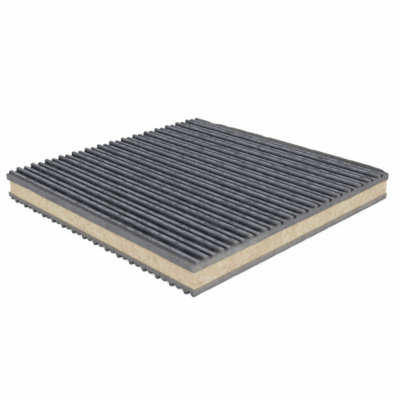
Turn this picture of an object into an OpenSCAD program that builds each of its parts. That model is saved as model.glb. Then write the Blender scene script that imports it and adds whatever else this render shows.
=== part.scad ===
// Anti vibration machine pad: a cork core bonded between two ribbed rubber sheets, near square.
// Both sheets are cut from the same ribbed rubber, on which high and low ribs take turns, so that
// a light load rests on the high ones alone. The top ribs run along X and the bottom ones along Y.

/* [Pad] */
// Length along X of the rubber sheets
pad_length = 208; // [100:1:400]
// Width along Y of the rubber sheets
pad_width = 200; // [100:1:400]

/* [Cork core] */
// Thickness of the core
core_t = 11.7; // [4:0.1:30]
// How far the core's edges stand back from the sheets' edges
core_inset = 0.3; // [0:0.1:4]

/* [Ribbed rubber] */
// Thickness of the solid web under the ribs
web_t = 3.2; // [1.5:0.1:10]
// Distance between the middles of neighbouring ribs
rib_pitch = 6.32; // [5.4:0.01:12]
// Height of the high ribs above the web
high_rib_h = 2.9; // [2.4:0.1:4]
// How much lower than those the low ribs are
rib_step = 1; // [0:0.1:1.2]
// Width of a rib at its crown, measured between the lines of its flanks
crown_w = 2.7; // [2.2:0.1:4]
// Slope of a rib's flanks from the vertical
flank_draft = 8; // [0:1:15]
// Rounding of a rib's shoulders
shoulder_r = 0.9; // [0.2:0.1:1.2]
// Fillet where a rib's flank meets the web
foot_r = 0.4; // [0.2:0.1:0.6]

/* [Cutting] */
// Place across the top sheet of the high rib nearest its middle
top_shift = -1; // [-6:0.01:6]
// Place across the bottom sheet of the high rib nearest its middle
bottom_shift = -5; // [-6:0.01:6]

/* [Hidden] */
low_rib_h = high_rib_h - rib_step;
sheet_t = web_t + high_rib_h;
core_length = pad_length - 2 * core_inset;
core_width = pad_width - 2 * core_inset;
// Ribs of the uncut rubber on each side of the middle, which reach past the sheet's edges
side_ribs = ceil(max(pad_length, pad_width) / 2 / rib_pitch) + 2;
uncut_half_w = (side_ribs + 2) * rib_pitch;
// Straight steps that stand for each rounding
arc_steps = 4;
rubber_grey = "#54585e";
cork_tan = "#cfb893";

// Points along an arc, from one angle to another
function arc(middle, radius, from, to) = [
    for (i = [0:arc_steps])
        let (angle = from + (to - from) * i / arc_steps)
        middle + radius * [cos(angle), sin(angle)]
];

// Right-hand half of a rib's section, from the crown down to the web, with the web's face at y = 0
function half_rib(height) =
    let (shoulder_x = crown_w / 2 - shoulder_r * (1 - sin(flank_draft)) / cos(flank_draft))
    let (foot_x = crown_w / 2 + (foot_r + (height - foot_r) * sin(flank_draft)) / cos(flank_draft))
    concat(
        arc([shoulder_x, height - shoulder_r], shoulder_r, 90, flank_draft),
        arc([foot_x, foot_r], foot_r, 180 + flank_draft, 270)
    );

// The same points on the other side of the rib's middle, in reverse order
function mirrored(points) = [for (i = [len(points) - 1:-1:0]) [-points[i].x, points[i].y]];

// A whole rib's section, from its left foot over the crown to its right foot
function rib(height) = concat(mirrored(half_rib(height)), half_rib(height));

// The ribs of the uncut rubber from left to right: even ones are high, and number 0 is at the shift
function rib_row(shift) = [
    for (number = [-side_ribs:side_ribs])
        let (height = number % 2 == 0 ? high_rib_h : low_rib_h)
        each [for (point = rib(height)) point + [number * rib_pitch + shift, web_t]]
];

// A sheet cut from the ribbed rubber, with its bond face at z = 0 and its ribs on top, along X.
// The run is its size along the ribs, and the span its size across them.
module ribbed_sheet(run, span, shift) {
    color(rubber_grey)
        rotate([90, 0, 90])
            linear_extrude(height = run, center = true)
                intersection() {
                    polygon(concat(
                        [[-uncut_half_w, 0], [-uncut_half_w, web_t]],
                        rib_row(shift),
                        [[uncut_half_w, web_t], [uncut_half_w, 0]]
                    ));
                    translate([-span / 2, 0])
                        square([span, sheet_t]);
                }
}

// Sheet that the machine stands on
module top_rubber_sheet() {
    translate([0, 0, sheet_t + core_t])
        ribbed_sheet(pad_length, pad_width, top_shift);
}

// Slab of pressed cork granules between the sheets
module cork_core() {
    color(cork_tan)
        translate([-core_length / 2, -core_width / 2, sheet_t])
            cube([core_length, core_width, core_t]);
}

// Sheet that grips the floor: upside down, with its ribs a quarter turn from the top one's
module bottom_rubber_sheet() {
    translate([0, 0, sheet_t])
        rotate([180, 0, 90])
            ribbed_sheet(pad_width, pad_length, bottom_shift);
}

top_rubber_sheet();
cork_core();
bottom_rubber_sheet();
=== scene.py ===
"""Dresses an anti vibration machine pad around its packed construction.

A slab of pressed cork granules is bonded between two sheets of ribbed rubber. High and low ribs take
turns on each sheet, and the ribs of the two sheets cross at right angles.
"""

import math

import bmesh
import bpy
from bpy.props import FloatProperty
from bpy.props import FloatVectorProperty
from bpy.props import PointerProperty
from mathutils import Matrix
from mathutils import Vector
from mathutils import noise


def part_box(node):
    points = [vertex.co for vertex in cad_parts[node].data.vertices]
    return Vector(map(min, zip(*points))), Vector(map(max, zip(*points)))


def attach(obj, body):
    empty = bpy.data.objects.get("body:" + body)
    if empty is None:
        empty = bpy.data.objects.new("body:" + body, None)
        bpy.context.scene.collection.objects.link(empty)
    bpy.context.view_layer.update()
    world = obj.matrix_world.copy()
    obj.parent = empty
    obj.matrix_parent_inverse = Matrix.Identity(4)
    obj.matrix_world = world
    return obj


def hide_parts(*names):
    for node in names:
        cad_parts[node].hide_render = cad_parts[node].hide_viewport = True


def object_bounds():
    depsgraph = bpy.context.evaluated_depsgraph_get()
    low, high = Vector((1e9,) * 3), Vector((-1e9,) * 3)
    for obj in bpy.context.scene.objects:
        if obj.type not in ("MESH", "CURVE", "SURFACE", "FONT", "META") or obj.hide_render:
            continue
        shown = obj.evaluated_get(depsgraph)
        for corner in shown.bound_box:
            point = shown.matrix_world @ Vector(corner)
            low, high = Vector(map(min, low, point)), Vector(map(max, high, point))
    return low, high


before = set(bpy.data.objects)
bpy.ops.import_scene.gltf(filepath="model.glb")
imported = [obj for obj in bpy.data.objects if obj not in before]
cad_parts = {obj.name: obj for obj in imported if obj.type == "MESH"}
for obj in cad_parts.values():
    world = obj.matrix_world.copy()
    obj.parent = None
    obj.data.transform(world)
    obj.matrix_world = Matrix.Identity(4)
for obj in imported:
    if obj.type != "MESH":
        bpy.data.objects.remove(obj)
CAD_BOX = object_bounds()

bl_info = {
    "name": "Anti vibration machine pad",
    "version": (1, 0, 0),
    "blender": (4, 5, 0),
    "location": "View3D > Sidebar > Pad",
    "description": "Makes a cork and ribbed rubber machine pad around its packed construction",
    "category": "Object",
}

BODY = "root"
MM = 0.001

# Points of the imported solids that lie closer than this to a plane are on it
TOUCH = 0.00001

# Axes of the frame by their place in a point
X_AXIS = 0
Y_AXIS = 1

# Longest step along a sheet's section, and from one section to the next along its ribs
SECTION_STEP = 0.9 * MM
STATION_STEP = 3.0 * MM
# Steps that a rounded cut edge is made of
EDGE_STEPS = 2
# Faces that meet at less than this angle are shaded as one surface
SMOOTH_ANGLE = math.radians(50)

# Ribs rise at least this far above the web
LEAST_RIB_RISE = 1 * MM
# Distances along a rib over which its height and its line change
SINK_LENGTH = 18 * MM
WANDER_LENGTH = 45 * MM
# Distance from an edge across the ribs over which they come to stray freely
EDGE_HOLD_WIDTH = 4 * MM
# How far apart neighbouring ribs, or granules, are in the noise
NOISE_GAP = 3.7

# Nicks in the cut rib along the top sheet's back edge: place along it, half length and depth
NICKS = (
    (-80 * MM, 9 * MM, 1.0 * MM),
    (-61 * MM, 6 * MM, 0.4 * MM),
    (-38 * MM, 5 * MM, 0.4 * MM),
    (-17 * MM, 5 * MM, 0.5 * MM),
    (31 * MM, 4 * MM, 0.3 * MM),
    (67 * MM, 4 * MM, 0.25 * MM),
    (93 * MM, 5 * MM, 0.4 * MM),
)
# The same rib slumps towards its left end, from a place along it, and is worn down at its right end
SLUMP_START = -20 * MM
SLUMP_DEPTH = 0.9 * MM
WORN_END_START = 95 * MM
WORN_END_DEPTH = 2.3 * MM
# The bottom sheet's rib at its right-hand edge is worn, by a depth that changes along it
EDGE_WEAR_DEPTH = 1.0 * MM
EDGE_WEAR_LENGTH = 8 * MM

# Parts of a rib's section, from where each starts to where it is in full: how far up a crown faces, and
# how far up the rib its crown and the dusty stretch of its flanks lie, as shares of the rib's height; the
# flanks' dust fades down the rib as painted shade towards the groove
CROWN_FACING = (0.5, 1.0)
CROWN_RAISED = (0.5, 0.9)
FLANK_RAISED = (0.2, 0.85)
# Share of a rib's height below which a point is on the groove's floor
GROOVE_RAISED = 0.5

# Dust on each sheet's last rib, where the most on a crown is 1, the share of it left at that rib's far
# end, and the places along it between which it thins out
LAST_RIB_DUST = 0.85
LAST_RIB_LEFT = 0.7
LAST_RIB_FROM = 0.0
LAST_RIB_TO = 80 * MM
# Dust on the high ribs' flanks, which also stands in as painted light for the light falling on them, in
# the middle of a sheet, and how much more there is towards its last rib and less towards its first
FLANK_DUST = 0.6
FLANK_DUST_RISE = 0.22
# Dust on the low ribs' flanks as a share of that, made less as painted shadow of the high ribs in front,
# and how much less the last crowns have than the first
SHADED_LOW_FLANK_SHARE = 0.35
CROWN_FADE = 0.12
# Border at each edge across the ribs, made of the ledge and the outer flank beside it: its width, the
# distance over which the ribs take over from it, its dust at the edge, and how much less it has inside
BORDER_WIDTH = 3.4 * MM
BORDER_BLEND = 1 * MM
BORDER_DUST = 0.82
BORDER_THINNING = 0.4
# Share of the dust that is left at the top ribs' left ends and the bottom ribs' front ends, and the
# length over which it comes back
DARK_END_DUST = 0.35
DARK_END_LENGTH = 5 * MM
# Painted light and shade in the top sheet's grooves at their right ends: pale in front of the high ribs,
# where the grooves lie open to the key light, and dark behind them, in their shade; and how far from the
# end it stops and starts to thin out
OPEN_END_LIGHT = 0.9
HIDDEN_END_LIGHT = 0.15
GROOVE_END_LENGTH = 4.5 * MM
FULL_END_LENGTH = 1 * MM
# Painted light on the right-hand cut faces, which face the key light: how far in from the edge it stops
# and starts to thin out
RIGHT_LIGHT_REACH = 1 * MM
RIGHT_LIGHT_FULL = 0.3 * MM
# Share of it that is left at the back of the top sheet, and the places between which it thins out
RIGHT_LIGHT_LEFT = 0.1
RIGHT_LIGHT_FROM = -55 * MM
RIGHT_LIGHT_TO = -15 * MM

# Lip that the knife has drawn down from the top sheet over the cork: its usual depth and its thickness
LIP_DEPTH = 0.85 * MM
LIP_THICKNESS = 0.25 * MM
# Shares of that depth by which it changes along the edge, the lengths over which it does, and the share
# that is always there
LIP_WAVER = 0.7
LIP_LENGTH = 22 * MM
LIP_FINE_WAVER = 0.4
LIP_FINE_LENGTH = 5 * MM
LIP_LEAST = 0.2

# Spacing of the points on the cork's edges, and the steps that a rounded corner is made of
CORK_STEP = 0.6 * MM
CORNER_STEPS = 6
# Share of a granule's spacing over which the crevice round it falls away
CREVICE_SHARE = 0.3
# Which of many like patterns the patches of stock follow
PATCH_DRAW = 8.0
# Rounding of the worn corner at its foot, as a share of that at its top
WORN_FOOT_SHARE = 0.7

# Half width of the floor, and the share of it that is shown as full white
FLOOR_REACH = 6.0
WHITE_SHARE = 0.97
# How far inside the pad's edge the floor's shade starts and is in full
SHADE_START = 1 * MM
SHADE_FULL = 3.8 * MM
# Width and place of the key light
KEY_WIDTH = 1.6
KEY_PLACE = Vector((0.86, -0.75, 1.47))


def linear(hex_colour):
    """Turn an sRGB hex colour into Blender's linear red, green and blue."""
    channels = [int(hex_colour[start:start + 2], 16) / 255 for start in (1, 3, 5)]
    return [c / 12.92 if c <= 0.04045 else ((c + 0.055) / 1.055) ** 2.4 for c in channels]


def opaque(colour):
    """A colour property with full alpha, as node sockets take it."""
    return (*colour, 1.0)


def smooth_step(value, low, high):
    """0 at low, 1 at high and a soft rise between them."""
    share = min(1.0, max(0.0, (value - low) / (high - low)))
    return share * share * (3 - 2 * share)


def noise_share(spot):
    """Smooth noise at a point, moved to the range from 0 to 1."""
    return 0.5 + 0.5 * noise.noise(spot)


class RubberSettings(bpy.types.PropertyGroup):
    """Finish of the ribbed rubber sheets."""

    edge_r: FloatProperty(
        name="Cut edge",
        description="Rounding of the edges where the sheets were cut",
        default=0.15 * MM,
        min=0.02 * MM,
        max=0.25 * MM,
        unit="LENGTH",
    )
    crown_sink: FloatProperty(
        name="Crown sink",
        description="How far a rib's crown sinks where it is lowest",
        default=0.2 * MM,
        min=0.0,
        max=0.5 * MM,
        unit="LENGTH",
    )
    rib_wander: FloatProperty(
        name="Rib wander",
        description="How far a rib strays to either side of its line",
        default=0.1 * MM,
        min=0.0,
        max=0.3 * MM,
        unit="LENGTH",
    )
    groove_colour: FloatVectorProperty(
        name="Groove",
        description="Colour of the rubber in the grooves, as it left the mould",
        default=linear("#171a22"),
        subtype="COLOR",
    )
    crown_colour: FloatVectorProperty(
        name="Crown",
        description="Colour of the rubbed and dusty rib crowns",
        default=linear("#898c94"),
        subtype="COLOR",
    )
    cut_colour: FloatVectorProperty(
        name="Cut face",
        description="Colour of the faces that the knife left",
        default=linear("#848386"),
        subtype="COLOR",
    )
    # Painted light: the right-hand cut faces are drawn in this paler colour, which stands in for the key
    # light falling on them
    right_lit_colour: FloatVectorProperty(
        name="Dusty cut face",
        description="Colour of the right-hand cut faces, which carry the most cork dust",
        default=linear("#a6a4a2"),
        subtype="COLOR",
    )
    bond_colour: FloatVectorProperty(
        name="Bond line",
        description="Colour of the cut rubber next to the cork, with cork dust on it",
        default=linear("#a99c87"),
        subtype="COLOR",
    )


class CorkSettings(bpy.types.PropertyGroup):
    """Finish of the pressed cork core."""

    granule: FloatProperty(
        name="Granule",
        description="Usual width of a cork granule",
        default=2.2 * MM,
        min=0.5 * MM,
        max=6 * MM,
        unit="LENGTH",
    )
    relief: FloatProperty(
        name="Relief",
        description="Depth of the crevices between granules on the cut edges",
        default=0.22 * MM,
        min=0.0,
        max=0.8 * MM,
        unit="LENGTH",
    )
    corner_r: FloatProperty(
        name="Corner",
        description="Rounding of the slab's upright corners",
        default=0.8 * MM,
        min=0.2 * MM,
        max=5 * MM,
        unit="LENGTH",
    )
    worn_corner_r: FloatProperty(
        name="Worn corner",
        description="Rounding of the crumbled corner, at its top",
        default=5.0 * MM,
        min=0.2 * MM,
        max=8 * MM,
        unit="LENGTH",
    )
    pale_colour: FloatVectorProperty(
        name="Pale granule",
        description="Colour of the palest granules",
        default=linear("#eee4cc"),
        subtype="COLOR",
    )
    tan_colour: FloatVectorProperty(
        name="Tan granule",
        description="Colour of the common granules",
        default=linear("#dfcea7"),
        subtype="COLOR",
    )
    bark_colour: FloatVectorProperty(
        name="Bark granule",
        description="Colour of the few granules with bark in them",
        default=linear("#bd9f7a"),
        subtype="COLOR",
    )
    rose_colour: FloatVectorProperty(
        name="Rose stock",
        description="Colour of the patches of redder cork",
        default=linear("#dfc1a8"),
        subtype="COLOR",
    )


class StudioSettings(bpy.types.PropertyGroup):
    """Camera, light and floor."""

    azimuth: FloatProperty(
        name="Azimuth",
        description="Turn of the camera round the pad, from straight in front",
        default=math.radians(46.40),
        subtype="ANGLE",
    )
    elevation: FloatProperty(
        name="Elevation",
        description="Height of the camera above the horizon",
        default=math.radians(23.22),
        subtype="ANGLE",
    )
    roll: FloatProperty(
        name="Roll",
        description="Turn of the camera about its own line of sight",
        default=math.radians(-0.85),
        subtype="ANGLE",
    )
    distance: FloatProperty(
        name="Distance",
        description="Distance from the camera to the point that it aims at",
        default=486.2 * MM,
        unit="LENGTH",
    )
    aim: FloatVectorProperty(
        name="Aim",
        description="Point in the middle of the picture",
        default=(22.98 * MM, -17.33 * MM, 11.95 * MM),
        subtype="XYZ",
        unit="LENGTH",
    )
    lens: FloatProperty(
        name="Lens",
        description="Focal length in millimetres, on a 36 mm sensor",
        default=60.83,
        min=10.0,
    )
    key_power: FloatProperty(
        name="Key light",
        description="Power of the large soft light over the right shoulder",
        default=14.0,
        min=0.0,
        unit="POWER",
    )
    sky: FloatProperty(
        name="Sky",
        description="Strength of the even light from all round",
        default=0.68,
        min=0.0,
    )
    floor_colour: FloatVectorProperty(
        name="Floor",
        description="Colour of the paper floor",
        default=linear("#d8d8d8"),
        subtype="COLOR",
    )


def add_node(tree, kind, settings, inputs):
    """Add a node with its settings, and give each input a value or a link from a (node, output) pair."""
    made = tree.nodes.new(kind)
    for name, value in settings.items():
        setattr(made, name, value)
    sockets = {socket.identifier: socket for socket in made.inputs}
    for name, value in inputs.items():
        if isinstance(value, tuple) and isinstance(value[0], bpy.types.Node):
            source, output = value
            outputs = {socket.identifier: socket for socket in source.outputs}
            tree.links.new(outputs[output], sockets[name])
        else:
            sockets[name].default_value = value
    return made


def new_material(name):
    """An empty node material, and its node tree."""
    material = bpy.data.materials.new(name)
    material.use_nodes = True
    material.node_tree.nodes.clear()
    return material, material.node_tree


def moulded_rubber(rubber):
    """Black moulded rubber: matt, finely pebbled from the mould, with pale dust and bloom on its ribs,
    and painted light and shade carried along with the dust.
    """
    material, tree = new_material("moulded_rubber")
    # The rib coordinates run along the ribs, across them and up, so that streaks follow the ribs
    place = add_node(tree, "ShaderNodeAttribute", {"attribute_name": "rib_place"}, {})
    rub = add_node(tree, "ShaderNodeAttribute", {"attribute_name": "rub"}, {})
    # Dust lies in streaks about 6 mm long and 2.5 mm wide
    streak_place = add_node(tree, "ShaderNodeMapping", {}, {
        "Vector": (place, "Vector"),
        "Scale": (1 / (6 * MM), 1 / (2.5 * MM), 1 / (2.5 * MM)),
    })
    streaks = add_node(tree, "ShaderNodeTexNoise", {}, {
        "Vector": (streak_place, "Vector"),
        "Scale": 1.0,
        "Detail": 3.0,
        "Roughness": 0.6,
    })
    streak_share = add_node(tree, "ShaderNodeMapRange", {}, {
        "Value": (streaks, "Fac"),
        "From Min": 0.35,
        "From Max": 0.65,
        "To Min": 0.3,
        "To Max": 1.4,
    })
    # Specks where the bloom is rubbed through, about 1.2 mm across
    specks = add_node(tree, "ShaderNodeTexNoise", {}, {
        "Vector": (place, "Vector"),
        "Scale": 1 / (1.2 * MM),
        "Detail": 2.0,
    })
    speck_share = add_node(tree, "ShaderNodeMapRange", {}, {
        "Value": (specks, "Fac"),
        "From Min": 0.35,
        "From Max": 0.65,
        "To Min": 0.65,
        "To Max": 1.35,
    })
    broken = add_node(tree, "ShaderNodeMath", {"operation": "MULTIPLY"}, {
        "Value": (streak_share, "Result"),
        "Value_001": (speck_share, "Result"),
    })
    # The dust is streaky where it is thick and has bloom in it, as on the crowns, and even elsewhere
    bloom = add_node(tree, "ShaderNodeAttribute", {"attribute_name": "bloom"}, {})
    well_rubbed = add_node(tree, "ShaderNodeMapRange", {}, {
        "Value": (rub, "Fac"),
        "From Min": 0.65,
        "From Max": 0.85,
    })
    streaky = add_node(tree, "ShaderNodeMath", {"operation": "MULTIPLY"}, {
        "Value": (well_rubbed, "Result"),
        "Value_001": (bloom, "Fac"),
    })
    evened = add_node(tree, "ShaderNodeMix", {"data_type": "FLOAT"}, {
        "Factor_Float": (streaky, "Value"),
        "A_Float": 1.0,
        "B_Float": (broken, "Value"),
    })
    # A little of it lies in the grooves too, where the streaks are thickest
    in_grooves = add_node(tree, "ShaderNodeMapRange", {}, {
        "Value": (streaks, "Fac"),
        "From Min": 0.45,
        "From Max": 0.7,
        "To Max": 0.2,
    })
    # The dust attribute also carries painted shade down the flanks and painted light and shade at the
    # grooves' right ends
    streaked_dust_and_shade = add_node(tree, "ShaderNodeMath", {"operation": "MULTIPLY_ADD"}, {
        "Value": (rub, "Fac"),
        "Value_001": (evened, "Result_Float"),
        "Value_002": (in_grooves, "Result"),
    })
    # The bloom on the ribs is bluish, and the dust elsewhere is as grey as the cut rubber it came off
    dust_colour = add_node(tree, "ShaderNodeMix", {"data_type": "RGBA"}, {
        "Factor_Float": (bloom, "Fac"),
        "A_Color": opaque(rubber.cut_colour),
        "B_Color": opaque(rubber.crown_colour),
    })
    dusty_and_shaded = add_node(tree, "ShaderNodeMix", {"data_type": "RGBA"}, {
        "Factor_Float": (streaked_dust_and_shade, "Value"),
        "A_Color": opaque(rubber.groove_colour),
        "B_Color": (dust_colour, "Result_Color"),
    })
    # Painted light lies thinly on the right-hand edges, which face the key light
    lit_on_right = add_node(tree, "ShaderNodeAttribute", {"attribute_name": "sawdust"}, {})
    right_lit_share = add_node(tree, "ShaderNodeMath", {"operation": "MULTIPLY"}, {
        "Value": (lit_on_right, "Fac"),
        "Value_001": 0.4,
    })
    colour = add_node(tree, "ShaderNodeMix", {"data_type": "RGBA"}, {
        "Factor_Float": (right_lit_share, "Value"),
        "A_Color": (dusty_and_shaded, "Result_Color"),
        "B_Color": opaque(rubber.right_lit_colour),
    })
    # The mould's grit is about 0.1 mm; it is drawn at 0.5 mm so that it shows
    grit = add_node(tree, "ShaderNodeTexNoise", {}, {
        "Vector": (place, "Vector"),
        "Scale": 1 / (0.5 * MM),
        "Detail": 2.0,
    })
    bump = add_node(tree, "ShaderNodeBump", {}, {
        "Height": (grit, "Fac"),
        "Strength": 0.35,
        "Distance": 0.1 * MM,
    })
    shader = add_node(tree, "ShaderNodeBsdfPrincipled", {}, {
        "Base Color": (colour, "Result_Color"),
        "Roughness": 0.72,
        "IOR": 1.52,
        "Specular IOR Level": 0.3,
        "Normal": (bump, "Normal"),
    })
    add_node(tree, "ShaderNodeOutputMaterial", {}, {"Surface": (shader, "BSDF")})
    return material


def cut_rubber(rubber):
    """Knife-cut rubber: paler than the moulded skin, dull, with faint drag marks down the cut."""
    material, tree = new_material("cut_rubber")
    place = add_node(tree, "ShaderNodeTexCoord", {}, {})
    # Drag marks stand upright, about 0.9 mm apart and 7 mm long
    drag_place = add_node(tree, "ShaderNodeMapping", {}, {
        "Vector": (place, "Object"),
        "Scale": (1 / (0.9 * MM), 1 / (0.9 * MM), 1 / (7 * MM)),
    })
    drag = add_node(tree, "ShaderNodeTexNoise", {}, {
        "Vector": (drag_place, "Vector"),
        "Scale": 1.0,
        "Detail": 3.0,
    })
    # Smears of cork dust and bloom, about 6 mm across
    smear = add_node(tree, "ShaderNodeTexNoise", {}, {
        "Vector": (place, "Object"),
        "Scale": 1 / (6 * MM),
        "Detail": 2.0,
    })
    tone = add_node(tree, "ShaderNodeMath", {"operation": "MULTIPLY_ADD"}, {
        "Value": (drag, "Fac"),
        "Value_001": 0.3,
        "Value_002": (smear, "Fac"),
    })
    tone_share = add_node(tree, "ShaderNodeMapRange", {}, {
        "Value": (tone, "Value"),
        "From Min": 0.4,
        "From Max": 0.9,
        "To Min": 0.65,
        "To Max": 1.05,
    })
    # Painted light falls on the right-hand faces, which face the key light, on the web's edge more than
    # on the rib ends
    lit_on_right = add_node(tree, "ShaderNodeAttribute", {"attribute_name": "sawdust"}, {})
    rib_place = add_node(tree, "ShaderNodeAttribute", {"attribute_name": "rib_place"}, {})
    from_bond = add_node(tree, "ShaderNodeSeparateXYZ", {}, {"Vector": (rib_place, "Vector")})
    on_web = add_node(tree, "ShaderNodeMapRange", {}, {
        "Value": (from_bond, "Z"),
        "From Min": 3 * MM,
        "From Max": 5 * MM,
        "To Min": 1.0,
        "To Max": 0.1,
    })
    right_lit_share = add_node(tree, "ShaderNodeMath", {"operation": "MULTIPLY"}, {
        "Value": (lit_on_right, "Fac"),
        "Value_001": (on_web, "Result"),
    })
    # Painted shade where the floor shuts out light, together with floor grime, darkens the lowest 3 mm
    axes = add_node(tree, "ShaderNodeSeparateXYZ", {}, {"Vector": (place, "Object")})
    above_floor_shade = add_node(tree, "ShaderNodeMapRange", {}, {
        "Value": (axes, "Z"),
        "From Min": 0.5 * MM,
        "From Max": 3.2 * MM,
        "To Min": 0.5,
        "To Max": 1.0,
    })
    toned_and_floor_shaded = add_node(tree, "ShaderNodeMath", {"operation": "MULTIPLY"}, {
        "Value": (tone_share, "Result"),
        "Value_001": (above_floor_shade, "Result"),
    })
    cut_and_lit_colour = add_node(tree, "ShaderNodeMix", {"data_type": "RGBA"}, {
        "Factor_Float": (right_lit_share, "Value"),
        "A_Color": opaque(rubber.cut_colour),
        "B_Color": opaque(rubber.right_lit_colour),
    })
    toned_and_shaded = add_node(tree, "ShaderNodeMix", {"data_type": "RGBA"}, {
        "Factor_Float": (toned_and_floor_shaded, "Value"),
        "A_Color": opaque(rubber.groove_colour),
        "B_Color": (cut_and_lit_colour, "Result_Color"),
    })
    # Cork crumbs stick along the bond line, in a band whose width changes every 5 mm or so and is
    # greater on the bottom sheet, onto which they fall
    widest = add_node(tree, "ShaderNodeMapRange", {}, {
        "Value": (axes, "Z"),
        "From Min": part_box("cork_core")[0].z,
        "From Max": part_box("cork_core")[1].z,
        "To Min": 5.5 * MM,
        "To Max": 1.5 * MM,
    })
    crumbs = add_node(tree, "ShaderNodeTexNoise", {}, {
        "Vector": (place, "Object"),
        "Scale": 1 / (5 * MM),
        "Detail": 3.0,
    })
    band = add_node(tree, "ShaderNodeMath", {"operation": "MULTIPLY"}, {
        "Value": (crumbs, "Fac"),
        "Value_001": (widest, "Result"),
    })
    dust_share = add_node(tree, "ShaderNodeMapRange", {}, {
        "Value": (from_bond, "Z"),
        "From Max": (band, "Value"),
        "To Min": 0.5,
        "To Max": 0.0,
    })
    colour = add_node(tree, "ShaderNodeMix", {"data_type": "RGBA"}, {
        "Factor_Float": (dust_share, "Result"),
        "A_Color": (toned_and_shaded, "Result_Color"),
        "B_Color": opaque(rubber.bond_colour),
    })
    bump = add_node(tree, "ShaderNodeBump", {}, {
        "Height": (drag, "Fac"),
        "Strength": 0.3,
        "Distance": 0.1 * MM,
    })
    shader = add_node(tree, "ShaderNodeBsdfPrincipled", {}, {
        "Base Color": (colour, "Result_Color"),
        "Roughness": 0.85,
        "IOR": 1.52,
        "Normal": (bump, "Normal"),
    })
    add_node(tree, "ShaderNodeOutputMaterial", {}, {"Surface": (shader, "BSDF")})
    return material


def pressed_cork(cork):
    """Agglomerated cork, sawn: pale and tan granules, a few of them dark with bark, dry and dull."""
    material, tree = new_material("pressed_cork")
    place = add_node(tree, "ShaderNodeTexCoord", {}, {})
    granules = add_node(tree, "ShaderNodeTexVoronoi", {"feature": "F1"}, {
        "Vector": (place, "Object"),
        "Scale": 1 / cork.granule,
    })
    draw = add_node(tree, "ShaderNodeSeparateColor", {}, {"Color": (granules, "Color")})
    # Patches of paler and darker stock, about 20 mm across
    patch = add_node(tree, "ShaderNodeTexNoise", {"noise_dimensions": "4D"}, {
        "Vector": (place, "Object"),
        "W": PATCH_DRAW,
        "Scale": 1 / (20 * MM),
        "Detail": 2.0,
    })
    # Cells of the cork itself, about 0.04 mm wide; drawn at 0.5 mm so that they show
    cells = add_node(tree, "ShaderNodeTexNoise", {}, {
        "Vector": (place, "Object"),
        "Scale": 1 / (0.5 * MM),
        "Detail": 2.0,
    })
    tone = add_node(tree, "ShaderNodeMath", {"operation": "MULTIPLY_ADD"}, {
        "Value": (patch, "Fac"),
        "Value_001": 0.8,
        "Value_002": (draw, "Red"),
    })
    tone_share = add_node(tree, "ShaderNodeMapRange", {}, {
        "Value": (tone, "Value"),
        "From Min": 0.3,
        "From Max": 1.5,
    })
    common_colour = add_node(tree, "ShaderNodeMix", {"data_type": "RGBA"}, {
        "Factor_Float": (tone_share, "Result"),
        "A_Color": opaque(cork.pale_colour),
        "B_Color": opaque(cork.tan_colour),
    })
    # Some patches are of redder stock
    patch_draw = add_node(tree, "ShaderNodeSeparateColor", {}, {"Color": (patch, "Color")})
    rose_share = add_node(tree, "ShaderNodeMapRange", {}, {
        "Value": (patch_draw, "Blue"),
        "From Min": 0.45,
        "From Max": 0.65,
        "To Max": 0.4,
    })
    granule_colour = add_node(tree, "ShaderNodeMix", {"data_type": "RGBA"}, {
        "Factor_Float": (rose_share, "Result"),
        "A_Color": (common_colour, "Result_Color"),
        "B_Color": opaque(cork.rose_colour),
    })
    # About one granule in ten carries bark
    bark_share = add_node(tree, "ShaderNodeMapRange", {}, {
        "Value": (draw, "Green"),
        "From Min": 0.88,
        "From Max": 0.98,
        "To Max": 0.35,
    })
    barked = add_node(tree, "ShaderNodeMix", {"data_type": "RGBA"}, {
        "Factor_Float": (bark_share, "Result"),
        "A_Color": (granule_colour, "Result_Color"),
        "B_Color": opaque(cork.bark_colour),
    })
    # The crevices between granules are a little darker, over a tenth of a granule's width
    edges = add_node(tree, "ShaderNodeTexVoronoi", {"feature": "DISTANCE_TO_EDGE"}, {
        "Vector": (place, "Object"),
        "Scale": 1 / cork.granule,
    })
    crevice = add_node(tree, "ShaderNodeMapRange", {}, {
        "Value": (edges, "Distance"),
        "From Max": 0.1,
        "To Min": 0.15,
        "To Max": 0.0,
    })
    colour = add_node(tree, "ShaderNodeMix", {"data_type": "RGBA"}, {
        "Factor_Float": (crevice, "Result"),
        "A_Color": (barked, "Result_Color"),
        "B_Color": opaque(cork.bark_colour),
    })
    height = add_node(tree, "ShaderNodeMath", {"operation": "MULTIPLY_ADD"}, {
        "Value": (cells, "Fac"),
        "Value_001": 0.4,
        "Value_002": (edges, "Distance"),
    })
    bump = add_node(tree, "ShaderNodeBump", {}, {
        "Height": (height, "Value"),
        "Strength": 0.35,
        "Distance": 0.2 * MM,
    })
    shader = add_node(tree, "ShaderNodeBsdfPrincipled", {}, {
        "Base Color": (colour, "Result_Color"),
        "Roughness": 0.92,
        "IOR": 1.45,
        "Normal": (bump, "Normal"),
    })
    add_node(tree, "ShaderNodeOutputMaterial", {}, {"Surface": (shader, "BSDF")})
    return material


def shown_as_white(tree):
    """1 for rays that show the white, to the camera or in a reflection, and 0 for those that light."""
    path = add_node(tree, "ShaderNodeLightPath", {}, {})
    mirrored = add_node(tree, "ShaderNodeMath", {"operation": "MAXIMUM"}, {
        "Value": (path, "Is Glossy Ray"),
        "Value_001": (path, "Is Transmission Ray"),
    })
    return add_node(tree, "ShaderNodeMath", {"operation": "MAXIMUM"}, {
        "Value": (path, "Is Camera Ray"),
        "Value_001": (mirrored, "Value"),
    })


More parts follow.
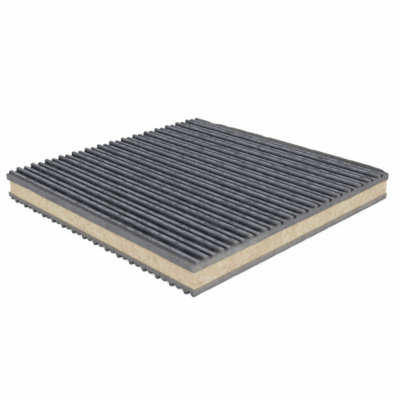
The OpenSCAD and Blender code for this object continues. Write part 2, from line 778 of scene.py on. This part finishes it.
def clear_of_pad(tree):
    """0 on the floor well under the pad, which is in its shade, and 1 beside it."""
    half_size = (CAD_BOX[1] - CAD_BOX[0]) / 2
    place = add_node(tree, "ShaderNodeTexCoord", {}, {})
    from_middle = add_node(tree, "ShaderNodeVectorMath", {"operation": "ABSOLUTE"}, {
        "Vector": (place, "Object"),
    })
    beyond = add_node(tree, "ShaderNodeVectorMath", {"operation": "SUBTRACT"}, {
        "Vector": (from_middle, "Vector"),
        "Vector_001": tuple(half_size),
    })
    axes = add_node(tree, "ShaderNodeSeparateXYZ", {}, {"Vector": (beyond, "Vector")})
    furthest = add_node(tree, "ShaderNodeMath", {"operation": "MAXIMUM"}, {
        "Value": (axes, "X"),
        "Value_001": (axes, "Y"),
    })
    return add_node(tree, "ShaderNodeMapRange", {}, {
        "Value": (furthest, "Value"),
        "From Min": -SHADE_FULL,
        "From Max": -SHADE_START,
    })


def studio_paper(studio):
    """Matt white paper: shown as white, with little of the shadow beside the pad and all of it below."""
    material, tree = new_material("studio_paper")
    paper = add_node(tree, "ShaderNodeBsdfDiffuse", {}, {"Color": opaque(studio.floor_colour)})
    white = add_node(tree, "ShaderNodeEmission", {}, {"Strength": 1.0})
    # The rest of the paper's brightness comes from the light on it, and carries the shadow
    full_share = add_node(tree, "ShaderNodeMath", {"operation": "MULTIPLY"}, {
        "Value": (shown_as_white(tree), "Value"),
        "Value_001": WHITE_SHARE,
    })
    white_share = add_node(tree, "ShaderNodeMath", {"operation": "MULTIPLY"}, {
        "Value": (full_share, "Value"),
        "Value_001": (clear_of_pad(tree), "Result"),
    })
    mixed = add_node(tree, "ShaderNodeMixShader", {}, {
        "Fac": (white_share, "Value"),
        "Shader": (paper, "BSDF"),
        "Shader_001": (white, "Emission"),
    })
    add_node(tree, "ShaderNodeOutputMaterial", {}, {"Surface": (mixed, "Shader")})
    return material


def rib_section(node, across, bond):
    """A packed sheet's outline, read off its end face: places across the ribs and above the bond face."""
    along = 1 - across
    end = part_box(node)[1][along]
    corners = set()
    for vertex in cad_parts[node].data.vertices:
        if abs(vertex.co[along] - end) < TOUCH:
            corners.add((round(vertex.co[across] / TOUCH), round(abs(vertex.co.z - bond) / TOUCH)))
    return [Vector(corner) * TOUCH for corner in sorted(corners) if corner[1] > 0]


def rounded_ends(outline, radius):
    """The outline with both of its ends, at the sheet's side edges, rounded over."""
    first = outline[0]
    last = outline[-1]
    left = []
    right = []
    for step in range(EDGE_STEPS + 1):
        angle = math.pi / 2 * step / EDGE_STEPS
        inward = radius * (1 - math.cos(angle))
        down = radius * (1 - math.sin(angle))
        left.append(Vector((first.x + inward, first.y - down)))
        right.insert(0, Vector((last.x - inward, last.y - down)))
    return left + outline[1:-1] + right


def refined(outline, longest):
    """The same outline with points added, so that no step of it is longer than given."""
    points = [outline[0]]
    for start, end in zip(outline, outline[1:]):
        pieces = math.ceil((end - start).length / longest)
        for piece in range(1, pieces + 1):
            points.append(start.lerp(end, piece / pieces))
    return points


def outline_normals(outline):
    """For each point, the vector that moves it outward so that each of its two sides moves by one."""
    up = Vector((0, 1))
    ways = [up]
    for start, end in zip(outline, outline[1:]):
        ways.append((end - start).normalized())
    ways.append(-up)
    sides = [Vector((-way.y, way.x)) for way in ways]
    return [(before + after) / (1 + before.dot(after)) for before, after in zip(sides, sides[1:])]


def stations(half, radius):
    """Places along the ribs where the section is drawn, each with its inset for the rounded cut edge."""
    rounding = []
    for step in range(EDGE_STEPS):
        angle = math.pi / 2 * step / EDGE_STEPS
        rounding.append((half - radius * (1 - math.cos(angle)), radius * (1 - math.sin(angle))))
    reach = half - radius
    count = math.ceil(2 * reach / STATION_STEP)
    middle = [(reach * (2 * step / count - 1), 0.0) for step in range(count + 1)]
    return [(-place, inset) for place, inset in rounding] + middle + rounding[::-1]


def rib_middles(section):
    """Where the ribs' flat crowns have their middles, across the sheet."""
    web = min(point.y for point in section)
    middles = []
    for start, end in zip(section, section[1:]):
        if abs(start.y - end.y) < TOUCH and start.y - web > LEAST_RIB_RISE:
            middles.append((start.x + end.x) / 2)
    return middles


def nearest_rib(middles, place):
    """Number of the rib whose middle is nearest."""
    return min(range(len(middles)), key=lambda number: abs(middles[number] - place))


def border_share(point, half):
    """1 on the border at each edge across the ribs, and 0 on the ribs between."""
    start = half - BORDER_WIDTH
    return smooth_step(abs(point.x), start, start + BORDER_BLEND)


def border_dust(point, half):
    """Dust on the border: it thins out from the edge to the first rib."""
    thinned = BORDER_DUST - BORDER_THINNING * smooth_step(half - abs(point.x), 0, BORDER_WIDTH)
    return thinned * border_share(point, half)


def dust_and_shade_share(point, normal, raised, half, is_high):
    """How dusty a point of the section is, with painted shade: most on the crowns, less down the flanks
    towards the groove and at the edges, least on flanks in the high ribs' shadow.
    """
    # From -1 at the edge by the first rib to 1 at the edge by the last one
    way_across = point.x / half
    on_crown = smooth_step(normal.normalized().y, *CROWN_FACING) * smooth_step(raised, *CROWN_RAISED)
    on_crown *= 1 - CROWN_FADE * (1 + way_across) / 2
    # Painted shade: the flanks darken down towards the groove floor
    flank_dust_and_shade = (FLANK_DUST + FLANK_DUST_RISE * way_across) * smooth_step(raised, *FLANK_RAISED)
    # Painted shadow: the low ribs' flanks lie in the shade of the high ribs
    if not is_high:
        flank_dust_and_shade *= SHADED_LOW_FLANK_SHARE
    return max(on_crown, flank_dust_and_shade, border_dust(point, half))


def settled(point, along, raised, rib, edge_hold, rubber):
    """A point of the section at a place along the ribs, which are a little uneven and not straight."""
    # Noise takes whole steps from rib to rib, so that each rib has its own course
    course = rib * NOISE_GAP
    sink = rubber.crown_sink * noise_share(Vector((along / SINK_LENGTH, course, 0)))
    wander = rubber.rib_wander * noise.noise(Vector((along / WANDER_LENGTH, course, NOISE_GAP)))
    return Vector((point.x + wander * edge_hold * raised, point.y - max(0.0, sink) * raised))


def cut_rib_wear(along, half_run):
    """How much of the cut rib's height is gone at a place along it."""
    wear = SLUMP_DEPTH * smooth_step(along, SLUMP_START, -half_run)
    wear += WORN_END_DEPTH * smooth_step(along, WORN_END_START, half_run)
    for place, half_length, depth in NICKS:
        wear += depth * smooth_step(abs(along - place), half_length, 0)
    return wear


def edge_rib_wear(along):
    """How much of the height of the bottom sheet's right-hand rib is gone at a place along it."""
    return EDGE_WEAR_DEPTH * max(0.0, noise.noise(Vector((along / EDGE_WEAR_LENGTH, 0, 0))))


def right_light_share(spot, ribs_up):
    """How much painted light falls at a point: only at the right-hand edges, on the top one most in
    front.
    """
    edge = CAD_BOX[1].x
    share = smooth_step(spot[X_AXIS], edge - RIGHT_LIGHT_REACH, edge - RIGHT_LIGHT_FULL)
    if ribs_up:
        share *= 1 - (1 - RIGHT_LIGHT_LEFT) * smooth_step(spot[Y_AXIS], RIGHT_LIGHT_FROM, RIGHT_LIGHT_TO)
    return share


def groove_end_light(raised, is_open):
    """Painted light on a groove's floor at its right end: pale where it lies open to the key light, dark
    in the shade behind a high rib.
    """
    most = OPEN_END_LIGHT if is_open else HIDDEN_END_LIGHT
    return most * smooth_step(raised, GROOVE_RAISED, 0)


def right_end_share(along, half_run):
    """1 at the ribs' right ends, and 0 from a short way in."""
    return smooth_step(along, half_run - GROOVE_END_LENGTH, half_run - FULL_END_LENGTH)


def first_end_share(along, half_run):
    """Share of the dust that is left at a place along the ribs: least at the end where they start."""
    return DARK_END_DUST + (1 - DARK_END_DUST) * smooth_step(along + half_run, 0, DARK_END_LENGTH)


def last_rib_share(along):
    """Share of the last rib's dust that is left at a place along it."""
    return 1 - (1 - LAST_RIB_LEFT) * smooth_step(along, LAST_RIB_FROM, LAST_RIB_TO)


def lip_depth(along, across):
    """How far the lip hangs down at a place on the top sheet's rim."""
    spot = Vector((along, across, 0))
    waver = LIP_WAVER * noise.noise(spot / LIP_LENGTH)
    waver += LIP_FINE_WAVER * noise.noise(spot / LIP_FINE_LENGTH)
    return LIP_DEPTH * max(LIP_LEAST, 1 + waver)


def crown_heights(outline, ribs):
    """Height of each rib above the bond face."""
    heights = {}
    for point, rib in zip(outline, ribs):
        heights[rib] = max(point.y, heights.get(rib, 0.0))
    return heights


def section_dust_and_shading(outline, normals, raises, ribs, middles, crowns):
    """For each point of the section: its dust with painted shade, its bloom, and its painted light and
    shade at the ribs' right ends.
    """
    half = max(point.x for point in outline)
    last_rib = len(middles) - 1
    high_crown = max(crowns.values()) - TOUCH
    dusts_and_shades = []
    blooms = []
    end_lights = []
    for point, normal, raised, rib in zip(outline, normals, raises, ribs):
        is_high = crowns[rib] > high_crown
        is_before = point.x < middles[rib]
        # Grooves in front of a high rib lie open to the key light, and those behind it lie in its shade
        end_lights.append(groove_end_light(raised, is_high == is_before))
        if rib == last_rib:
            dusts_and_shades.append(LAST_RIB_DUST)
            blooms.append(0.0)
        else:
            dusts_and_shades.append(dust_and_shade_share(point, normal, raised, half, is_high))
            blooms.append(1 - border_share(point, half))
    return dusts_and_shades, blooms, end_lights


def rim_of(feet, last_row, last_column):
    """The points at the sheet's foot, in order round it."""
    rim = [feet[0][column] for column in range(last_column)]
    rim += [feet[row][last_column] for row in range(last_row)]
    rim += [feet[last_row][column] for column in range(last_column, 0, -1)]
    rim += [feet[row][0] for row in range(last_row, 0, -1)]
    return rim


def build_sheet(name, node, across, ribs_up, rubber, materials):
    """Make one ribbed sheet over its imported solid: the section drawn along the ribs, then closed."""
    low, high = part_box(node)
    along_axis = 1 - across
    half = (high[across] - low[across]) / 2
    half_run = (high[along_axis] - low[along_axis]) / 2
    bond = low.z if ribs_up else high.z
    upward = 1 if ribs_up else -1
    drop = LIP_DEPTH if ribs_up else 0.0
    section = rib_section(node, across, bond)
    middles = rib_middles(section)
    last_rib = len(middles) - 1
    outline = refined(rounded_ends(section, rubber.edge_r), SECTION_STEP)
    normals = outline_normals(outline)
    web = min(point.y for point in section)
    ribs = [nearest_rib(middles, point.x) for point in outline]
    crowns = crown_heights(outline, ribs)
    raises = [max(0.0, (point.y - web) / (crowns[rib] - web)) for point, rib in zip(outline, ribs)]
    edge_holds = [smooth_step(half - abs(point.x), 0, EDGE_HOLD_WIDTH) for point in outline]
    dusts_and_shades, blooms, end_lights = section_dust_and_shading(outline, normals, raises, ribs, middles, crowns)
    rows = stations(half_run, rubber.edge_r)
    last_row = len(rows) - 1
    last_column = len(outline) - 1

    mesh = bmesh.new()
    dust_and_shade_layer = mesh.verts.layers.float.new("rub")
    bloom_layer = mesh.verts.layers.float.new("bloom")
    place_layer = mesh.verts.layers.float_vector.new("rib_place")
    right_light_layer = mesh.verts.layers.float.new("sawdust")

    def add_point(across_place, along_place, height):
        """Add a point by its place on the sheet and its height above the bond face."""
        spot = [0.0, 0.0, bond + upward * height]
        spot[across] = across_place
        spot[along_axis] = along_place
        vertex = mesh.verts.new(spot)
        # Painted light at the right-hand edges, which face the key light
        vertex[right_light_layer] = right_light_share(spot, ribs_up)
        # Heights in the rib coordinates count from the lip's foot, where there is a lip
        vertex[place_layer] = Vector((along_place, across_place, height + drop))
        return vertex

    skin = []
    feet = []
    for row, (place, inset) in enumerate(rows):
        skin_row = []
        feet_row = {}
        wear = cut_rib_wear(place, half_run) if ribs_up else edge_rib_wear(place)
        first_end = first_end_share(place, half_run)
        right_end = right_end_share(place, half_run) if ribs_up else 0.0
        for column, (point, normal) in enumerate(zip(outline, normals)):
            raised = raises[column]
            inner = point - normal * inset
            spot = settled(inner, place, raised, ribs[column], edge_holds[column], rubber)
            rub = dusts_and_shades[column] * first_end
            if ribs[column] == last_rib:
                spot.y -= wear * raised
                rub *= last_rib_share(place)
            vertex = add_point(spot.x, place, spot.y)
            # Painted light and shade on the groove floors at the right ends, where the bloom gives way to
            # grey
            vertex[dust_and_shade_layer] = max(rub, end_lights[column] * right_end)
            vertex[bloom_layer] = blooms[column] * (1 - right_end)
            skin_row.append(vertex)
            if row in (0, last_row) or column in (0, last_column):
                foot = -lip_depth(place, spot.x) if ribs_up else 0.0
                feet_row[column] = add_point(spot.x, place, foot)
        skin.append(skin_row)
        feet.append(feet_row)

    moulded = 0
    cut = 1

    def add_face(corners, finish):
        """Add a face with the moulded or the cut finish."""
        face = mesh.faces.new(corners)
        face.material_index = finish
        face.smooth = True

    def add_strip(one, other, finish):
        """Add the faces between two rows of points, step by step."""
        for step in range(len(one) - 1):
            add_face((one[step], one[step + 1], other[step + 1], other[step]), finish)

    def add_lip(rim):
        """Close the lip's sole and its inner wall, and give the bond face's edge inside it."""
        across_share = 1 - LIP_THICKNESS / half
        along_share = 1 - LIP_THICKNESS / half_run
        sole = []
        inner = []
        for vertex in rim:
            along_place, across_place, level = vertex[place_layer]
            spot = (across_place * across_share, along_place * along_share)
            sole.append(add_point(*spot, level - drop))
            inner.append(add_point(*spot, 0.0))
        for outside, inside in ((rim, sole), (sole, inner)):
            add_strip(outside + outside[:1], inside + inside[:1], cut)
        return inner

    for row in range(last_row):
        finish = moulded if EDGE_STEPS <= row < last_row - EDGE_STEPS else cut
        add_strip(skin[row], skin[row + 1], finish)
    for row in (0, last_row):
        add_strip(skin[row], list(feet[row].values()), cut)
    for column in (0, last_column):
        add_strip([points[column] for points in skin], [points[column] for points in feet], cut)
    rim = rim_of(feet, last_row, last_column)
    if ribs_up:
        rim = add_lip(rim)
    add_face(rim, cut)
    place_piece(name, node, mesh, materials)


def place_piece(name, node, mesh, materials):
    """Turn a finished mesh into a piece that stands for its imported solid."""
    bmesh.ops.recalc_face_normals(mesh, faces=mesh.faces)
    data = bpy.data.meshes.new(name)
    mesh.to_mesh(data)
    mesh.free()
    data.set_sharp_from_angle(angle=SMOOTH_ANGLE)
    for material in materials:
        data.materials.append(material)
    piece = bpy.data.objects.new(name, data)
    bpy.context.scene.collection.objects.link(piece)
    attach(piece, BODY)
    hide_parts(node)


def cork_ring(low, high, radii):
    """Points round the slab at one level, each with the way that its edge faces."""
    ring = []
    corners = (
        Vector((low.x, low.y)),
        Vector((high.x, low.y)),
        Vector((high.x, high.y)),
        Vector((low.x, high.y)),
    )
    inward = (Vector((1, 1)), Vector((-1, 1)), Vector((-1, -1)), Vector((1, -1)))
    middles = [corner + way * radius for corner, way, radius in zip(corners, inward, radii)]
    pieces = math.ceil((high.x - low.x) / CORK_STEP)
    for number, (middle, radius) in enumerate(zip(middles, radii)):
        following = (number + 1) % len(corners)
        for step in range(CORNER_STEPS + 1):
            angle = math.pi + math.pi / 2 * (number + step / CORNER_STEPS)
            facing = Vector((math.cos(angle), math.sin(angle)))
            ring.append((middle + facing * radius, facing))
        # The straight side to the next corner faces the way that this one ends
        start = ring[-1][0]
        end = middles[following] + facing * radii[following]
        for piece in range(1, pieces):
            ring.append((start.lerp(end, piece / pieces), facing))
    return ring


def granule_depth(spot, cork):
    """How far the sawn face stands back at a point: each granule by its own amount, crevices most."""
    distances, middles = noise.voronoi(spot / cork.granule)
    gap = distances[1] - distances[0]
    own = noise_share(middles[0] * NOISE_GAP)
    crevice = 1 - smooth_step(gap, 0, CREVICE_SHARE)
    return cork.relief * min(1.0, max(0.0, (own + crevice) / 2))


def build_cork(name, node, cork, material):
    """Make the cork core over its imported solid: sawn granular edges between flat bond faces."""
    low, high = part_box(node)
    levels = math.ceil((high.z - low.z) / CORK_STEP)
    mesh = bmesh.new()
    rings = []
    for level in range(levels + 1):
        share = level / levels
        height = low.z + (high.z - low.z) * share
        worn = cork.worn_corner_r * (WORN_FOOT_SHARE + (1 - WORN_FOOT_SHARE) * share)
        radii = (worn, cork.corner_r, cork.corner_r, cork.corner_r)
        ring = []
        for spot, facing in cork_ring(low, high, radii):
            depth = granule_depth(Vector((*spot, height)), cork)
            back = spot - facing * depth
            ring.append(mesh.verts.new((*back, height)))
        rings.append(ring)
    for lower, upper in zip(rings, rings[1:]):
        for place in range(len(lower)):
            before = place - 1
            face = mesh.faces.new((lower[before], lower[place], upper[place], upper[before]))
            face.smooth = True
    mesh.faces.new(rings[0][::-1])
    mesh.faces.new(rings[-1])
    place_piece(name, node, mesh, [material])


class PAD_OT_rubber_sheets(bpy.types.Operator):
    """Make the top and bottom ribbed rubber sheets"""

    bl_idname = "pad.rubber_sheets"
    bl_label = "Rubber sheets"

    def execute(self, context):
        rubber = context.scene.pad_rubber
        materials = [moulded_rubber(rubber), cut_rubber(rubber)]
        build_sheet("top_ribbed_rubber", "top_rubber_sheet", Y_AXIS, True, rubber, materials)
        build_sheet("bottom_ribbed_rubber", "bottom_rubber_sheet", X_AXIS, False, rubber, materials)
        return {"FINISHED"}


class PAD_OT_cork_core(bpy.types.Operator):
    """Make the pressed cork core"""

    bl_idname = "pad.cork_core"
    bl_label = "Cork core"

    def execute(self, context):
        cork = context.scene.pad_cork
        build_cork("pressed_cork_core", "cork_core", cork, pressed_cork(cork))
        return {"FINISHED"}


class PAD_OT_studio(bpy.types.Operator):
    """Set up the floor, the light and the camera"""

    bl_idname = "pad.studio"
    bl_label = "Studio"

    def execute(self, context):
        scene = context.scene
        studio = scene.pad_studio
        add_floor(scene, studio)
        add_sky(scene, studio)
        add_key_light(scene, studio)
        add_camera(scene, studio)
        scene.view_settings.view_transform = "Standard"
        return {"FINISHED"}


def add_floor(scene, studio):
    """Lay the paper floor under the pad."""
    ground = CAD_BOX[0].z
    ways = ((-1, -1), (1, -1), (1, 1), (-1, 1))
    corners = [(x * FLOOR_REACH, y * FLOOR_REACH, ground) for x, y in ways]
    data = bpy.data.meshes.new("paper_floor")
    data.from_pydata(corners, [], [range(len(corners))])
    data.materials.append(studio_paper(studio))
    floor = bpy.data.objects.new("paper_floor", data)
    scene.collection.objects.link(floor)


def add_sky(scene, studio):
    """Light the pad evenly from all round, and show white behind it."""
    scene.world = bpy.data.worlds.new("white_studio")
    scene.world.use_nodes = True
    tree = scene.world.node_tree
    tree.nodes.clear()
    white = opaque((1.0, 1.0, 1.0))
    light = add_node(tree, "ShaderNodeBackground", {}, {"Color": white, "Strength": studio.sky})
    backdrop = add_node(tree, "ShaderNodeBackground", {}, {"Color": white, "Strength": 1.0})
    mixed = add_node(tree, "ShaderNodeMixShader", {}, {
        "Fac": (shown_as_white(tree), "Value"),
        "Shader": (light, "Background"),
        "Shader_001": (backdrop, "Background"),
    })
    add_node(tree, "ShaderNodeOutputWorld", {}, {"Surface": (mixed, "Shader")})


def add_key_light(scene, studio):
    """Hang the large soft light over the right shoulder of the camera."""
    data = bpy.data.lights.new("key_light", "AREA")
    data.size = KEY_WIDTH
    data.energy = studio.key_power
    light = bpy.data.objects.new("key_light", data)
    light.location = KEY_PLACE
    light.rotation_mode = "QUATERNION"
    light.rotation_quaternion = (-KEY_PLACE).to_track_quat("-Z", "Y")
    scene.collection.objects.link(light)


def add_camera(scene, studio):
    """Put the camera at the photograph's viewing angle."""
    data = bpy.data.cameras.new("camera")
    data.lens = studio.lens
    camera = bpy.data.objects.new("camera", data)
    back = Vector((
        math.sin(studio.azimuth) * math.cos(studio.elevation),
        -math.cos(studio.azimuth) * math.cos(studio.elevation),
        math.sin(studio.elevation),
    ))
    camera.location = Vector(studio.aim) + back * studio.distance
    level_right = Vector((math.cos(studio.azimuth), math.sin(studio.azimuth), 0.0))
    right = Matrix.Rotation(studio.roll, 3, back) @ level_right
    axes = Matrix((right, back.cross(right), back)).transposed()
    camera.rotation_mode = "QUATERNION"
    camera.rotation_quaternion = axes.to_quaternion()
    scene.collection.objects.link(camera)
    scene.camera = camera


class PAD_PT_sidebar(bpy.types.Panel):
    """Lists the pad's settings, and the buttons that make its pieces"""

    bl_idname = "PAD_PT_sidebar"
    bl_label = "Machine pad"
    bl_space_type = "VIEW_3D"
    bl_region_type = "UI"
    bl_category = "Pad"

    def draw(self, context):
        for settings, operator in STEPS:
            box = self.layout.box()
            group = getattr(context.scene, settings)
            for name in group.bl_rna.properties.keys():
                if name not in ("rna_type", "name"):
                    box.prop(group, name)
            box.operator(operator)


# Each group of settings with the operator that uses it, in the order of making
STEPS = (
    ("pad_rubber", "pad.rubber_sheets"),
    ("pad_cork", "pad.cork_core"),
    ("pad_studio", "pad.studio"),
)

CLASSES = (
    RubberSettings,
    CorkSettings,
    StudioSettings,
    PAD_OT_rubber_sheets,
    PAD_OT_cork_core,
    PAD_OT_studio,
    PAD_PT_sidebar,
)


def register():
    """Register the classes and hang the settings on the scene."""
    for item in CLASSES:
        bpy.utils.register_class(item)
    bpy.types.Scene.pad_rubber = PointerProperty(type=RubberSettings)
    bpy.types.Scene.pad_cork = PointerProperty(type=CorkSettings)
    bpy.types.Scene.pad_studio = PointerProperty(type=StudioSettings)


def unregister():
    """Take the settings off the scene and unregister the classes."""
    del bpy.types.Scene.pad_rubber
    del bpy.types.Scene.pad_cork
    del bpy.types.Scene.pad_studio
    for item in reversed(CLASSES):
        bpy.utils.unregister_class(item)


def main():
    """Make the pad and its studio."""
    register()
    bpy.ops.pad.rubber_sheets()
    bpy.ops.pad.cork_core()
    bpy.ops.pad.studio()


if __name__ == "__main__":
    main()
